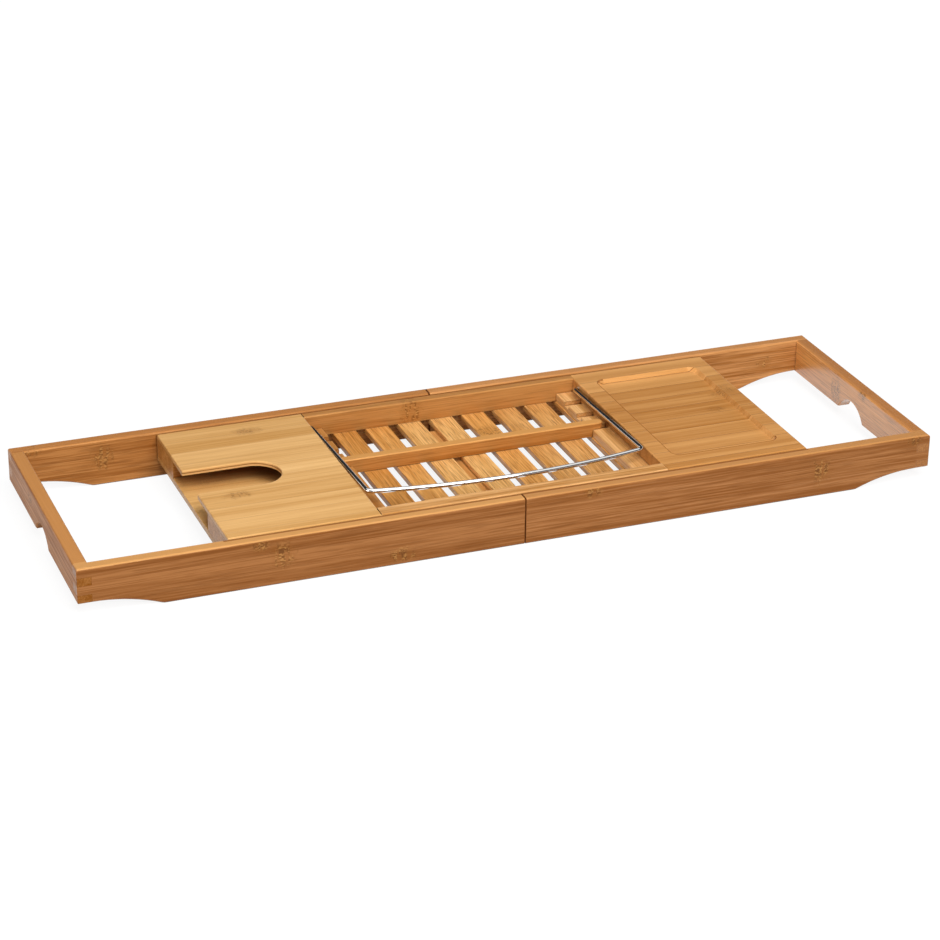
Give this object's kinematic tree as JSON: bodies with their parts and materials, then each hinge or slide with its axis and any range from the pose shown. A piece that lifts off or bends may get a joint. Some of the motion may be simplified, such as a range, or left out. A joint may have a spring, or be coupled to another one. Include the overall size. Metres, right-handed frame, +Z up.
{
  "type": "bath caddy",
  "caption": "Extending slatted bamboo bath tray with a stemmed glass slot, a book well with notched rack, crossbar and tilting wire bail, and a recessed soap board.",
  "frame": {"origin": "middle of the underside of the closed frame, on the surface that its feet stand on", "axes": "+X along the frame towards the soap tray, +Y to the back where the bail is hinged, +Z up"},
  "size_m": [0.75, 0.24, 0.0429],
  "materials": {
    "bamboo": "satin clear coat over laminated bamboo",
    "chrome_wire": "bright chrome plate",
    "steel_pins": "plain steel"
  },
  "bodies": {
    "tray": {"tray_front_rail": "bamboo", "tray_back_rail": "bamboo", "left_front_runner": "bamboo", "left_back_runner": "bamboo", "right_front_runner": "bamboo", "right_back_runner": "bamboo", "glass_panel": "bamboo", "glass_shelf_board": "bamboo", "glass_spacer_front": "bamboo", "glass_spacer_back": "bamboo", "soap_tray_board": "bamboo", "soap_tray_end_batten": "bamboo", "well_left_wall": "bamboo", "well_right_wall": "bamboo", "left_notched_rack": "bamboo", "right_notched_rack": "bamboo", "slat_1": "bamboo", "slat_2": "bamboo", "slat_3": "bamboo", "slat_4": "bamboo", "slat_5": "bamboo", "slat_6": "bamboo", "slat_7": "bamboo", "slat_8": "bamboo", "slat_9": "bamboo", "slat_centre_batten": "bamboo"},
    "left_frame": {"left_front_rail": "bamboo", "left_back_rail": "bamboo", "left_end_rail": "bamboo", "left_stop_pegs": "steel_pins"},
    "right_frame": {"right_front_rail": "bamboo", "right_back_rail": "bamboo", "right_end_rail": "bamboo", "right_stop_pegs": "steel_pins"},
    "crossbar": {"book_crossbar": "bamboo"},
    "bail": {"book_wire_bail": "chrome_wire"}
  },
  "joints": [
    {"name": "left_extend", "type": "slide", "parent": "tray", "child": "left_frame", "axis": [-1, 0, 0], "range_m": [0, 0.17]},
    {"name": "right_extend", "type": "slide", "parent": "tray", "child": "right_frame", "axis": [1, 0, 0], "range_m": [0, 0.17]},
    {"name": "crossbar_lift", "type": "slide", "parent": "tray", "child": "crossbar", "axis": [0, 0, 1], "range_m": [0, 0.06]},
    {"name": "bail_tilt", "type": "hinge", "parent": "tray", "child": "bail", "pos_m": [0.007, 0.0871, 0.0347], "axis": [-1, 0, 0], "range_deg": [0, 137]}
  ]
}
